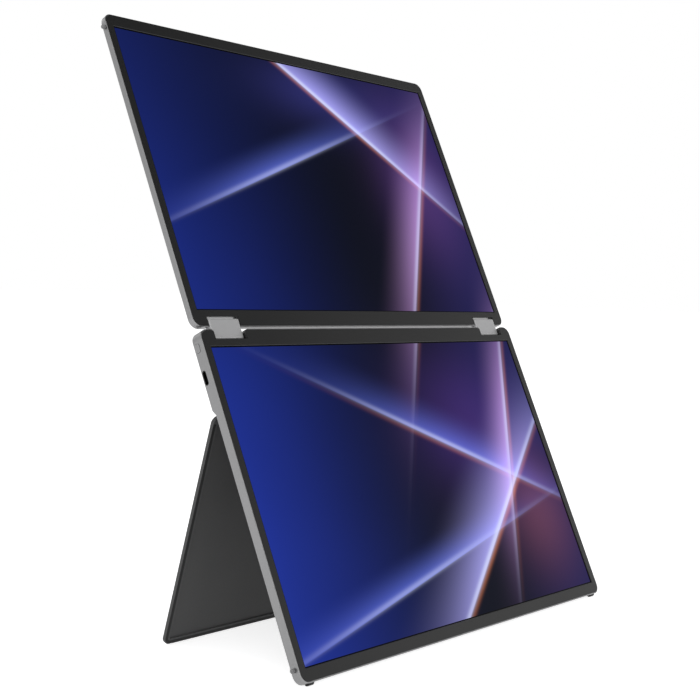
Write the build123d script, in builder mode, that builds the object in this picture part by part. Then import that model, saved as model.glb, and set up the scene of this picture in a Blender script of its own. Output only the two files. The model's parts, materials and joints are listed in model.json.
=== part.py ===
from build123d import *

import os
from math import asin, atan2, cos, hypot, radians, sin

# Dual portable monitor: two display halves on a twin-axis hinge, leaning on a kickstand.
# Each half is drawn in its own plane: x across the half, y away from its hinge edge, z out of its screen.
# A "run" is a distance from the hinge edge, and a "depth" is a distance back from the half's front face.
# A side is -1 on the viewer's left and 1 on the viewer's right. All sizes are in millimetres.
os.makedirs("parts", exist_ok=True)

# Display: a 14 inch picture in 16:10, and the stack behind the bezel
picture_width = 301.6
picture_height = 188.5
window_margin = 0.7
window_chamfer = 0.25
panel_margin = 1.5
panel_hinge_margin = 4.0
bezel_thickness = 0.6
bezel_gap = 0.25
gasket_thickness = 0.15
gasket_width = 0.7
panel_thickness = 1.1
carrier_thickness = 0.5
carrier_hinge_gap = 0.6
carrier_frame = 24.0
carrier_windows = 3

# Halves
side_border = 6.3
far_border = 8.9
hinge_border = 11.5
corner_radius = 6.0
case_wall = 0.8
case_floor = 0.8
rear_round = 0.8
rim_width = 0.6
rim_chamfer = 0.3
upper_depth = 4.5
lower_depth = 8.5
thin_depth = 6.0
step_start = 46.9
step_run = 4.0
rib_thickness = 1.0
rib_count = 4
rib_margin = 12.0
fit_gap = 0.05

# Twin-axis hinge: two shafts in each block, gripped by a stack of friction clips
axis_spacing = 8.8
axis_inset = 3.2
lower_axis_depth = 4.5
upper_axis_depth = 2.1
notch_edge = 11.4
notch_width = 25.5
lower_notch_gap = 1.0
upper_notch_gap = 1.1
lower_mouth_round = 1.6
upper_mouth_round = 0.3
block_gap = 0.6
block_radius = 2.2
block_corner = 1.2
block_wall = 0.4
block_end_wall = 1.5
block_chamfer = 0.2
cap_flange = 0.8
cap_plug = 1.6
cap_bore = 1.2
shaft_radius = 1.0
shaft_hole_gap = 0.3
running_gap = 0.03
collar_radius = 1.5
collar_width = 1.2
clip_count = 4
clip_gap = 0.1
clip_slit = 0.4

# Hinge brackets and small screws
bracket_length = 30.0
bracket_width = 5.5
bracket_thickness = 0.8
bracket_gap = 0.3
knuckle_length = 9.0
knuckle_radius = 1.4
knuckle_round = 0.5
bracket_screw_offsets = (14.0, 26.0)
screw_radius = 0.7
screw_head_radius = 1.5
screw_head_height = 0.5
screw_grip = 0.7

# Kickstand
kick_open = 41.3
kick_axis_run = 48.6
kick_reach = 149.8
kick_thickness = 2.4
kick_lie_gap = 0.1
kick_start = 2.6
kick_side_inset = 0.5
kick_corner_radius = 4.5
kick_rim = 3.5
kick_field = 0.9
kick_edge_chamfer = 0.3
kick_strip_inset = 8.0
kick_strip_thickness = 1.4
kick_strip_proud = 0.6
kick_strip_root = 1.6
kick_hinge_inset = 51.2
kick_arm_width = 14.0
kick_arm_length = 20.0
kick_ear_width = 5.0
kick_swing_gap = 0.3
kick_pin_radius = 0.6
kick_screw_spread = 8.0
kick_screw_run = 14.0

# Countersunk screws of the rear cover and of the kickstand's arms
sunk_radius = 0.6
sunk_head_radius = 1.3
sunk_grip = 0.8
cover_screw_boss = 2.6
cover_screw_inset = 16.2
cover_screw_step_gap = 7.5
cover_screw_far = 11.3

# Rubber feet
foot_radius = 2.0
foot_proud = 1.25
foot_length = 4.2
foot_inset = 8.1
foot_root_length = 3.0
foot_root_width = 2.4
edge_foot_radius = 1.3
edge_foot_proud = 2.0
edge_foot_chamfer = 0.4
edge_foot_rear = 2.2
edge_foot_root = 0.7
edge_foot_far = 8.8

# Boards, in the thick section of the lower half and behind the upper panel
board_thickness = 1.0
board_front = 3.3
board_start = 14.0
board_end = 44.0
board_inner = 14.0
board_edge_gap = 2.8
board_tab_start = 6.6
board_tab_width = 6.2
# Each chip's place as a share of the board's width and along the board, then its width, length and height
chip_sizes = (
    (0.33, 31.0, 16.0, 16.0, 1.2),
    (0.59, 25.0, 8.0, 8.0, 1.0),
    (0.70, 24.0, 6.0, 6.0, 2.4),
    (0.70, 34.0, 6.0, 6.0, 2.4),
)
flex_connector_length = 3.5
flex_connector_height = 0.8
standoff_radius = 2.2
# Each standoff's place as a share of the board's width, and along the board
standoff_places = ((0.045, 18.0), (0.49, 40.0), (0.89, 19.0))
ribbon_width = 10.0
ribbon_run = 38.0
ribbon_reach = 24.0
ribbon_thickness = 0.25
flex_width = 50.0
flex_share = 0.33
flex_thickness = 0.15
flex_overlap = 3.0
driver_share = 0.49
driver_start = 9.0
driver_height = 22.0
driver_thickness = 0.8
driver_seat_height = 0.2

# Ports, buttons and tripod insert
port_gap = 0.1
port_setback = 0.1
usb_width = 8.94
usb_height = 3.2
usb_length = 7.9
usb_wall = 0.32
usb_tongue_width = 6.7
usb_tongue_thickness = 0.7
usb_tongue_length = 4.5
hdmi_width = 11.2
hdmi_height = 3.2
hdmi_length = 7.5
hdmi_wall = 0.4
hdmi_taper = 0.9
hdmi_tongue_width = 8.0
port_back_wall = 1.0
usb_left_run = 28.2
hdmi_right_run = 26.0
usb_right_run = 38.5
power_run = 10.2
key_runs = (8.9, 15.5)
button_depth = 5.2
button_length = 5.2
button_height = 3.6
button_corner = 1.2
button_gap = 0.2
button_proud = 0.15
button_lip = 0.6
button_lip_thickness = 0.6
button_travel = 0.4
switch_length = 2.6
switch_width = 3.6
switch_stem_radius = 0.6
switch_stem = 0.6
tripod_run = 23.0
tripod_radius = 2.6
tripod_length = 4.7
tripod_outer_radius = 4.5
tripod_boss_wall = 1.5
tripod_boss_floor = 0.5
tripod_boss_gap = 0.25

# Sizes that follow: display stack and halves
half_width = picture_width + 2 * side_border
half_height = picture_height + far_border + hinge_border
window_width = picture_width + 2 * window_margin
window_height = picture_height + 2 * window_margin
picture_run = hinge_border + picture_height / 2
panel_front = bezel_thickness + gasket_thickness
panel_start = hinge_border - panel_hinge_margin
panel_end = hinge_border + picture_height + panel_margin
panel_width = picture_width + 2 * panel_margin
carrier_front = panel_front + panel_thickness
carrier_back = carrier_front + carrier_thickness
carrier_start = panel_start + carrier_hinge_gap
thin_floor = thin_depth - case_floor
thick_floor = lower_depth - case_floor
thick_end = step_start - case_wall
upper_floor = upper_depth - case_floor
thin_start = step_start + step_run

# Sizes that follow: hinge, from its lower axis to its upper one and along its block
lower_mouth = lower_mouth_round + case_wall
upper_mouth = upper_mouth_round + case_wall
lower_notch = (axis_inset + block_radius + lower_notch_gap, lower_mouth)
upper_notch = (axis_inset + block_radius + upper_notch_gap, upper_mouth)
hinge_gap = axis_spacing - 2 * axis_inset
upper_setback = lower_axis_depth - upper_axis_depth
notch_x = half_width / 2 - notch_edge - notch_width / 2
block_width = notch_width - 2 * block_gap
block_length = block_width - cap_flange
plug_start = block_length - cap_plug
clip_start = block_end_wall + collar_width + 2 * clip_gap
clip_pitch = (plug_start - clip_start) / clip_count
clip_thickness = clip_pitch - clip_gap
knuckle_start = block_gap + max(lower_mouth, upper_mouth) + bracket_gap
bracket_outer = notch_x - block_width / 2 - knuckle_start
bracket_start = axis_inset - knuckle_radius
bracket_screw_run = bracket_start + bracket_width - screw_head_radius - bracket_gap

# Sizes that follow: kickstand, feet and boards
kick_axis_depth = thin_depth + kick_lie_gap + kick_thickness / 2
barrel_radius = kick_thickness / 2
kick_width = half_width - 2 * kick_side_inset
kick_hinge_x = half_width / 2 - kick_hinge_inset
kick_end = kick_reach - kick_strip_proud
kick_strip_length = kick_width - 2 * kick_strip_inset
strip_radius = kick_strip_thickness / 2
kick_pocket_depth = kick_axis_depth - barrel_radius - kick_swing_gap
kick_pocket_start = kick_axis_run - barrel_radius - kick_swing_gap
kick_pocket_width = kick_arm_width + 2 * kick_swing_gap
kick_knuckle_width = kick_pocket_width + 2 * kick_ear_width
sunk_head_height = sunk_head_radius - sunk_radius
foot_x = half_width / 2 - foot_inset
edge_foot_run = half_height - edge_foot_far
board_outer = half_width / 2 - board_edge_gap
board_width = board_outer - board_inner
flex_x = board_inner + flex_share * board_width
board_back = board_front + board_thickness
port_depth = board_back + usb_height / 2
driver_width = driver_share * panel_width
driver_back = upper_floor - driver_seat_height
driver_front = driver_back - driver_thickness
tripod_boss_front = carrier_back + tripod_boss_gap
tripod_seat = tripod_boss_front + tripod_boss_floor

# Lean: the round bottom feet and the round tip of the open kickstand stand on one floor
kick_swing = radians(kick_open)
tip_reach = kick_reach - strip_radius
tip_depth = kick_axis_depth + tip_reach * sin(kick_swing)
tip_height = half_height - kick_axis_run - tip_reach * cos(kick_swing)
foot_depth = thin_depth / 2
foot_height = foot_radius - foot_proud
stance_run = tip_depth - foot_depth
stance_rise = tip_height - foot_height
stance_slope = asin((strip_radius - foot_radius) / hypot(stance_run, stance_rise))
lean = atan2(stance_rise, stance_run) - stance_slope
floor_lift = foot_radius + foot_depth * sin(lean) - foot_height * cos(lean)
top_height = 2 * half_height + hinge_gap
overall_depth = (upper_setback + upper_depth) * cos(lean) + top_height * sin(lean)


def stand(depth, height):
    """Where a point is, given its depth behind the lower screen and its height up the leaning half."""
    back = depth * cos(lean) + height * sin(lean) - overall_depth / 2
    up = height * cos(lean) - depth * sin(lean) + floor_lift
    return Vector(0, back, up)


# Planes of the halves and the kickstand, and sections across them
screen_normal = Vector(0, -cos(lean), sin(lean))
up_the_screen = Vector(0, sin(lean), cos(lean))
kick_normal = Vector(0, cos(kick_swing - lean), sin(kick_swing - lean))
LOWER = Plane(stand(0, half_height), x_dir=(-1, 0, 0), z_dir=screen_normal)
UPPER = Plane(stand(upper_setback, half_height + hinge_gap), x_dir=(1, 0, 0), z_dir=screen_normal)
KICK = Plane(stand(kick_axis_depth, half_height - kick_axis_run), x_dir=(1, 0, 0), z_dir=kick_normal)
LOWER_SECTION = Plane(LOWER.origin, x_dir=LOWER.y_dir, z_dir=LOWER.x_dir)
UPPER_SECTION = Plane(UPPER.origin, x_dir=UPPER.y_dir, z_dir=UPPER.x_dir)
KICK_SECTION = Plane(KICK.origin, x_dir=KICK.y_dir, z_dir=KICK.x_dir)
BOTTOM_EDGE = Plane(stand(0, 0), x_dir=LOWER.x_dir, z_dir=LOWER.y_dir)
SIDES = {"left": -1, "right": 1}


def hinge_plane(side):
    """Section of one hinge at its block's inner end: origin on the lower axis, x to the upper, z outwards."""
    inner_end = Vector(side * (notch_x - block_width / 2), 0, 0)
    axis_point = stand(lower_axis_depth, half_height - axis_inset)
    return Plane(axis_point + inner_end, x_dir=up_the_screen, z_dir=(side, 0, 0))


def edge_plane(half, side):
    """A half's left or right edge face: x away from the hinge edge, y back from the front face."""
    corner = half.origin + Vector(side * half_width / 2, 0, 0)
    return Plane(corner, x_dir=half.y_dir, z_dir=-half.x_dir)


def outward(half, side):
    """Sign of the way out of a half along its edge plane's normal."""
    return -side * half.x_dir.X


def across(half, x):
    """A place along the width, in a half's own plane."""
    return x * half.x_dir.X


def normal_axis(plane):
    return Axis(plane.origin, plane.z_dir)


def save(piece, label):
    """Labels a finished piece and writes its file."""
    piece.part.label = label
    export_step(piece.part, f"parts/{label}.step")


# Outlines that several pieces share
def face_outline(inset):
    """Rounded outline of a half's face, drawn in by inset."""
    with BuildSketch() as outline:
        with Locations((0, half_height / 2)):
            RectangleRounded(half_width - 2 * inset, half_height - 2 * inset, corner_radius - inset)
    return outline.sketch


def notch_outline(notch, margin):
    """The two hinge notches of a half, of a depth and with rounded mouths, widened by margin."""
    depth, mouth = notch
    corner_x = notch_width / 2 + mouth
    with BuildSketch() as notches:
        with Locations((-notch_x, 0), (notch_x, 0)):
            Rectangle(2 * corner_x, 2 * mouth)
            with Locations((-corner_x, mouth), (corner_x, mouth)):
                Circle(mouth - margin, mode=Mode.SUBTRACT)
            Rectangle(notch_width + 2 * margin, 2 * (depth + margin))
    return notches.sketch


def inner_outline(notch, inset, margin):
    """Outline that runs inside a half's edge by inset, and clear of its notches by margin."""
    with BuildSketch() as outline:
        add(face_outline(inset))
        add(notch_outline(notch, margin), mode=Mode.SUBTRACT)
    return outline.sketch


def hinge_outline(inset):
    """Rounded outline of a hinge block round both its axes, drawn in by inset."""
    length = axis_spacing + 2 * (block_radius - inset)
    with BuildSketch() as outline:
        with Locations((axis_spacing / 2, 0)):
            RectangleRounded(length, 2 * (block_radius - inset), block_corner - inset)
    return outline.sketch


def bracket_pads():
    """Pads under both brackets' leaves, in the half's plane."""
    length = bracket_length - knuckle_length
    centre = bracket_outer - knuckle_length - length / 2
    with BuildSketch() as pads:
        with Locations((-centre, 0), (centre, 0)):
            Rectangle(length, bracket_start + bracket_width, align=(Align.CENTER, Align.MIN))
    return pads.sketch


def bracket_screw_places():
    """Screw places of both brackets of a half, in its plane."""
    places = [bracket_outer - offset for offset in bracket_screw_offsets]
    return [(side * place, bracket_screw_run) for side in SIDES.values() for place in places]


def spread(start, end, count):
    """Evenly spread places between two ends, with one at each end."""
    return [start + (end - start) * i / (count - 1) for i in range(count)]


def hdmi_outline(margin):
    """Shell outline of the mini-HDMI receptacle, wider at the screen's side."""
    half = hdmi_width / 2 + margin
    front = -hdmi_height / 2 - margin
    back = hdmi_height / 2 + margin
    with BuildSketch() as outline:
        with BuildLine():
            Polyline(
                (-half, front),
                (half, front),
                (half, back - hdmi_taper),
                (half - hdmi_taper, back),
                (hdmi_taper - half, back),
                (-half, back - hdmi_taper),
                close=True,
            )
        make_face()
    return outline.sketch


def board_screw_places():
    places = [(board_inner + share * board_width, run) for share, run in standoff_places]
    return [(side * x, run) for side in SIDES.values() for x, run in places]


def cover_screw_places():
    edge = half_width / 2 - cover_screw_inset
    runs = (thin_start + cover_screw_step_gap, half_height - cover_screw_far)
    return [(x, run) for x in (-edge, 0, edge) for run in runs]


def kick_screw_places():
    spreads = (-kick_screw_spread / 2, kick_screw_spread / 2)
    return [(side * kick_hinge_x + x, kick_screw_run) for side in SIDES.values() for x in spreads]


# Display stack, the same in both halves
def front_bezel(half, notch):
    """Flat frame inside the case's rim, over the notches' walls and standing proud of the display."""
    border = inner_outline(notch, rim_width + bezel_gap, fit_gap)
    with BuildPart() as bezel:
        with BuildSketch(half):
            add(border)
            with Locations((0, picture_run)):
                Rectangle(window_width, window_height, mode=Mode.SUBTRACT)
        extrude(amount=-bezel_thickness)
        front_face = bezel.faces().sort_by(normal_axis(half))[-1]
        chamfer(front_face.inner_wires()[0].edges(), window_chamfer)
    return bezel


def panel_gasket(half):
    """Foam strip between the bezel's window and the panel's border."""
    with BuildPart() as gasket:
        with BuildSketch(half.offset(-bezel_thickness)):
            with Locations((0, picture_run)):
                Rectangle(window_width + 2 * gasket_width, window_height + 2 * gasket_width)
                Rectangle(window_width + 2 * fit_gap, window_height + 2 * fit_gap, mode=Mode.SUBTRACT)
        extrude(amount=-gasket_thickness)
    return gasket


def display_panel(half):
    """Display panel, with its driver border along the hinge side."""
    with BuildPart() as panel:
        with BuildSketch(half.offset(-panel_front)):
            with Locations((0, panel_start)):
                Rectangle(panel_width, panel_end - panel_start, align=(Align.CENTER, Align.MIN))
        extrude(amount=-panel_thickness)
    return panel


def panel_carrier(half, screw_places):
    """Stamped plate that the panel is bonded to, with windows between its webs."""
    window = (panel_width - (carrier_windows + 1) * carrier_frame) / carrier_windows
    height = panel_end - carrier_start
    with BuildPart() as carrier:
        with BuildSketch(half.offset(-carrier_front)):
            with Locations((0, carrier_start + height / 2)):
                Rectangle(panel_width, height)
                with GridLocations(window + carrier_frame, 0, carrier_windows, 1):
                    RectangleRounded(window, height - 4 * carrier_frame, corner_radius, mode=Mode.SUBTRACT)
            if screw_places:
                with Locations(*screw_places):
                    Circle(sunk_radius + fit_gap, mode=Mode.SUBTRACT)
        extrude(amount=-carrier_thickness)
    return carrier


def panel_flex(section, x, board_face, board_edge):
    """Flat cable from the panel's hinge-side edge down to a board's front face."""
    with BuildPart() as flex:
        with BuildSketch(section.offset(x)):
            with Locations((panel_start, -panel_front)):
                Rectangle(flex_thickness, board_face - panel_front, align=Align.MAX)
            with Locations((panel_start - flex_thickness, -board_face)):
                length = board_edge + flex_overlap - panel_start + flex_thickness
                Rectangle(length, flex_thickness, align=Align.MIN)
        extrude(amount=flex_width / 2, both=True)
    return flex


# Cases
def upper_rear_cover():
    """Flat tray that closes the upper half from behind."""
    outline = face_outline(0)
    notches = notch_outline(upper_notch, 0)
    bezel_seat = face_outline(rim_width)
    inside = inner_outline(upper_notch, case_wall, case_wall)
    pads = bracket_pads()
    pad_front = upper_axis_depth + bracket_thickness / 2
    rib_runs = spread(driver_start + driver_height + rib_margin, half_height - rib_margin, rib_count)
    with BuildPart() as cover:
        with BuildSketch(UPPER):
            add(outline)
        extrude(amount=-upper_depth)
        fillet(cover.faces().sort_by(normal_axis(UPPER))[0].edges(), rear_round)
        chamfer(cover.faces().sort_by(normal_axis(UPPER))[-1].edges(), rim_chamfer)
        with BuildSketch(UPPER):
            add(notches)
        extrude(amount=-upper_depth, mode=Mode.SUBTRACT)
        with BuildSketch(UPPER):
            add(bezel_seat)
        extrude(amount=-bezel_thickness, mode=Mode.SUBTRACT)
        with BuildSketch(UPPER):
            add(inside)
        extrude(amount=-upper_floor, mode=Mode.SUBTRACT)
        # Bracket pads with their screw holes, and seats of the driver board
        with BuildSketch(UPPER.offset(-upper_floor)):
            add(pads)
        extrude(amount=upper_floor - pad_front)
        with BuildSketch(UPPER.offset(-pad_front)):
            with Locations(*bracket_screw_places()):
                Circle(screw_radius + fit_gap)
        extrude(amount=-screw_grip, mode=Mode.SUBTRACT)
        with BuildSketch(UPPER.offset(-upper_floor)):
            with Locations((0, driver_start + driver_height / 2)):
                with GridLocations(driver_width / 2 - 2 * standoff_radius, 0, 3, 1):
                    Circle(standoff_radius)
        extrude(amount=driver_seat_height)
        # Ribs that the panel carrier rests on
        with BuildSketch(UPPER.offset(-upper_floor)):
            with Locations(*[(0, run) for run in rib_runs]):
                Rectangle(panel_width, rib_thickness)
        extrude(amount=upper_floor - carrier_back)
        # Ways for the hinge shafts and the edge foot
        for side in SIDES.values():
            with BuildSketch(hinge_plane(side)):
                with Locations((axis_spacing, 0)):
                    Circle(shaft_radius + shaft_hole_gap)
            extrude(amount=-knuckle_start, mode=Mode.SUBTRACT)
        with BuildSketch(edge_plane(UPPER, -1)):
            with Locations((edge_foot_run, upper_depth - edge_foot_rear)):
                Circle(edge_foot_root + fit_gap)
        extrude(amount=case_wall, both=True, mode=Mode.SUBTRACT)
    return cover


def lower_rear_cover():
    """Stepped tray: deep beside the hinge for the boards, thin where the kickstand folds in."""
    outline = face_outline(0)
    notches = notch_outline(lower_notch, 0)
    bezel_seat = face_outline(rim_width)
    inside = inner_outline(lower_notch, case_wall, case_wall)
    hdmi_hole = hdmi_outline(port_gap)
    pads = bracket_pads()
    pad_front = lower_axis_depth + bracket_thickness / 2
    rib_runs = spread(thin_start + 2 * rib_margin, half_height - rib_margin, rib_count)
    button_hole = (button_length + 2 * button_gap, button_height + 2 * button_gap)
    with BuildPart(LOWER) as cover:
        with BuildSketch(LOWER):
            add(outline)
        extrude(amount=-lower_depth)
        fillet(cover.faces().sort_by(normal_axis(LOWER))[0].edges(), rear_round)
        chamfer(cover.faces().sort_by(normal_axis(LOWER))[-1].edges(), rim_chamfer)
        # The kickstand's recess, below a sloped step
        with BuildSketch(LOWER_SECTION):
            with BuildLine():
                Polyline(
                    (step_start, -lower_depth),
                    (thin_start, -thin_depth),
                    (half_height, -thin_depth),
                    (half_height, -lower_depth),
                    close=True,
                )
            make_face()
        extrude(amount=half_width / 2, both=True, mode=Mode.SUBTRACT)
        with BuildSketch(LOWER):
            add(notches)
        extrude(amount=-lower_depth, mode=Mode.SUBTRACT)
        # Hollow: the bezel's seat, then shallow all over, then deeper in the thick section
        with BuildSketch(LOWER):
            add(bezel_seat)
        extrude(amount=-bezel_thickness, mode=Mode.SUBTRACT)
        with BuildSketch(LOWER):
            add(inside)
        extrude(amount=-thin_floor, mode=Mode.SUBTRACT)
        with BuildSketch(LOWER):
            add(inside)
            with Locations((0, thick_end)):
                Rectangle(half_width, half_height, align=(Align.CENTER, Align.MIN), mode=Mode.SUBTRACT)
        extrude(amount=-thick_floor, mode=Mode.SUBTRACT)
        # Kickstand hinges: ears round each pin, and a pocket between them for the arm's barrel
        for side in SIDES.values():
            with BuildSketch(LOWER_SECTION.offset(side * kick_hinge_x)):
                with Locations((kick_axis_run, -kick_axis_depth)):
                    Circle(barrel_radius)
                    Rectangle(2 * barrel_radius, barrel_radius, align=(Align.CENTER, Align.MIN))
            extrude(amount=kick_knuckle_width / 2, both=True)
        with BuildSketch(LOWER.offset(-kick_pocket_depth)):
            with Locations((-kick_hinge_x, kick_pocket_start), (kick_hinge_x, kick_pocket_start)):
                Rectangle(kick_pocket_width, thin_start - kick_pocket_start, align=(Align.CENTER, Align.MIN))
        extrude(amount=kick_pocket_depth - lower_depth, mode=Mode.SUBTRACT)
        for side in SIDES.values():
            with BuildSketch(LOWER_SECTION.offset(side * kick_hinge_x)):
                with Locations((kick_axis_run, -kick_axis_depth)):
                    Circle(kick_pin_radius + running_gap)
            extrude(amount=kick_knuckle_width / 2, both=True, mode=Mode.SUBTRACT)
        # Bracket pads, with their screw holes
        with BuildSketch(LOWER.offset(-thick_floor)):
            add(pads)
        extrude(amount=thick_floor - pad_front)
        with BuildSketch(LOWER.offset(-pad_front)):
            with Locations(*bracket_screw_places()):
                Circle(screw_radius + fit_gap)
        extrude(amount=-screw_grip, mode=Mode.SUBTRACT)
        # Ribs and countersunk screw bosses under the panel carrier
        with BuildSketch(LOWER.offset(-thin_floor)):
            with Locations(*[(0, run) for run in rib_runs]):
                Rectangle(panel_width, rib_thickness)
            with Locations(*cover_screw_places()):
                Circle(cover_screw_boss)
        extrude(amount=thin_floor - carrier_back)
        with Locations(*[(x, run, -thin_depth) for x, run in cover_screw_places()]):
            sunk_shape(thin_depth, fit_gap, Mode.SUBTRACT)
        # Standoffs of the boards, and the blind boss of the tripod insert
        with BuildSketch(LOWER.offset(-thick_floor)):
            with Locations(*board_screw_places()):
                Circle(standoff_radius)
        extrude(amount=thick_floor - board_back)
        with BuildSketch(LOWER.offset(-board_back)):
            with Locations(*board_screw_places()):
                Circle(screw_radius + fit_gap)
        extrude(amount=-screw_grip, mode=Mode.SUBTRACT)
        with BuildSketch(LOWER.offset(-thick_floor)):
            with Locations((0, tripod_run)):
                Circle(tripod_outer_radius + tripod_boss_wall)
        extrude(amount=thick_floor - tripod_boss_front)
        with BuildSketch(LOWER.offset(-lower_depth)):
            with Locations((0, tripod_run)):
                Circle(tripod_outer_radius + fit_gap)
        extrude(amount=lower_depth - tripod_seat, mode=Mode.SUBTRACT)
        # Ways for the hinge shafts, the ports, the buttons and the feet
        for side in SIDES.values():
            with BuildSketch(hinge_plane(side)):
                Circle(shaft_radius + shaft_hole_gap)
            extrude(amount=-knuckle_start, mode=Mode.SUBTRACT)
        with BuildSketch(edge_plane(LOWER, -1)):
            with Locations((usb_left_run, port_depth)):
                SlotOverall(usb_width + 2 * port_gap, usb_height + 2 * port_gap)
            with Locations((power_run, button_depth)):
                RectangleRounded(*button_hole, button_corner)
            with Locations((edge_foot_run, thin_depth - edge_foot_rear)):
                Circle(edge_foot_root + fit_gap)
        extrude(amount=case_wall, both=True, mode=Mode.SUBTRACT)
        with BuildSketch(edge_plane(LOWER, 1)):
            with Locations((usb_right_run, port_depth)):
                SlotOverall(usb_width + 2 * port_gap, usb_height + 2 * port_gap)
            with Locations((hdmi_right_run, port_depth)):
                add(hdmi_hole)
            with Locations(*[(run, button_depth) for run in key_runs]):
                RectangleRounded(*button_hole, button_corner)
        extrude(amount=case_wall, both=True, mode=Mode.SUBTRACT)
        with BuildSketch(BOTTOM_EDGE):
            with Locations((-foot_x, foot_depth), (foot_x, foot_depth)):
                Rectangle(foot_root_length + 2 * fit_gap, foot_root_width + 2 * fit_gap)
        extrude(amount=-case_wall, mode=Mode.SUBTRACT)
    return cover


# Screws
def sunk_shape(length, gap, mode):
    """Countersunk screw, head down at the current place, or its hole where a gap is given."""
    up = (Align.CENTER, Align.CENTER, Align.MIN)
    Cone(sunk_head_radius + gap, sunk_radius + gap, sunk_head_height, align=up, mode=mode)
    Cylinder(sunk_radius + gap, length, align=up, mode=mode)


def sunk_screws(plane, places, depth, length):
    """Group of countersunk screws, their heads flush with a face at the given depth."""
    with BuildPart(plane) as screws:
        with Locations(*[(x, run, -depth) for x, run in places]):
            sunk_shape(length, 0, Mode.ADD)
    return screws


def pan_screws(plane, places, depth, thickness):
    """Group of pan-head screws through a piece of some thickness whose front face is at a depth."""
    up = (Align.CENTER, Align.CENTER, Align.MIN)
    down = (Align.CENTER, Align.CENTER, Align.MAX)
    with BuildPart(plane) as screws:
        with Locations(*[(x, run, -depth) for x, run in places]):
            Cylinder(screw_head_radius, screw_head_height, align=up)
            Cylinder(screw_radius, thickness + screw_grip, align=down)
    return screws


# Twin-axis hinge
def hinge_bracket(half, side, axis_depth, axis_x):
    """Leaf screwed to a half's pads, with a knuckle that grips the hinge shaft."""
    front = axis_depth - bracket_thickness / 2
    centre = across(half, side * (bracket_outer - bracket_length / 2))
    knuckle_plane = hinge_plane(side).offset(-knuckle_start)
    with BuildPart() as bracket:
        with BuildSketch(half.offset(-front)):
            with Locations((centre, bracket_start)):
                Rectangle(bracket_length, bracket_width, align=(Align.CENTER, Align.MIN))
            with Locations(*bracket_screw_places()):
                Circle(screw_radius + fit_gap, mode=Mode.SUBTRACT)
        extrude(amount=-bracket_thickness)
        with BuildSketch(knuckle_plane):
            with Locations((axis_x, 0)):
                RectangleRounded(2 * knuckle_radius, 2 * knuckle_radius, knuckle_round)
        extrude(amount=-knuckle_length)
        with BuildSketch(knuckle_plane):
            with Locations((axis_x, 0)):
                Circle(shaft_radius + running_gap)
        extrude(amount=-knuckle_length, mode=Mode.SUBTRACT)
    return bracket


def hinge_shaft(side, axis_x):
    """Shaft from its bracket's knuckle to the block's cap, kept in the block by a collar."""
    inner_end = knuckle_start + knuckle_length
    outer_end = plug_start + cap_bore - clip_gap
    with BuildPart() as shaft:
        with BuildSketch(hinge_plane(side).offset(-inner_end)):
            with Locations((axis_x, 0)):
                Circle(shaft_radius)
        extrude(amount=inner_end + outer_end)
        with BuildSketch(hinge_plane(side).offset(block_end_wall + clip_gap)):
            with Locations((axis_x, 0)):
                Circle(collar_radius)
        extrude(amount=collar_width)
    return shaft


def hinge_block(side):
    """Housing of one hinge, open at its outer end, with a bearing wall at its inner end."""
    plane = hinge_plane(side)
    outside = hinge_outline(0)
    chamber = hinge_outline(block_wall)
    with BuildPart() as block:
        with BuildSketch(plane):
            add(outside)
        extrude(amount=block_length)
        chamfer(block.faces().sort_by(normal_axis(plane))[0].edges(), block_chamfer)
        with BuildSketch(plane.offset(block_end_wall)):
            add(chamber)
        extrude(amount=block_length, mode=Mode.SUBTRACT)
        with BuildSketch(plane):
            with Locations((0, 0), (axis_spacing, 0)):
                Circle(shaft_radius + running_gap)
        extrude(amount=block_end_wall, mode=Mode.SUBTRACT)
    return block


def hinge_cap(side):
    """Cap that plugs a block's outer end and carries the shafts' ends."""
    plane = hinge_plane(side)
    outside = hinge_outline(0)
    plug = hinge_outline(block_wall + fit_gap)
    with BuildPart() as cap:
        with BuildSketch(plane.offset(block_length)):
            add(outside)
        extrude(amount=cap_flange)
        chamfer(cap.faces().sort_by(normal_axis(plane))[-1].edges(), block_chamfer)
        with BuildSketch(plane.offset(block_length)):
            add(plug)
        extrude(amount=-cap_plug)
        with BuildSketch(plane.offset(plug_start)):
            with Locations((0, 0), (axis_spacing, 0)):
                Circle(shaft_radius + running_gap)
        extrude(amount=cap_bore, mode=Mode.SUBTRACT)
    return cap


def friction_clips(side):
    """Stack of spring clips that grip both shafts, each slit from its bores out to its ends."""
    plate = hinge_outline(block_wall + fit_gap)
    with BuildPart() as clips:
        for i in range(clip_count):
            with BuildSketch(hinge_plane(side).offset(clip_start + i * clip_pitch)):
                add(plate)
                with Locations((0, 0), (axis_spacing, 0)):
                    Circle(shaft_radius + running_gap, mode=Mode.SUBTRACT)
                with Locations((-block_radius / 2, 0), (axis_spacing + block_radius / 2, 0)):
                    Rectangle(block_radius, clip_slit, mode=Mode.SUBTRACT)
            extrude(amount=clip_thickness)
    return clips


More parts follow.
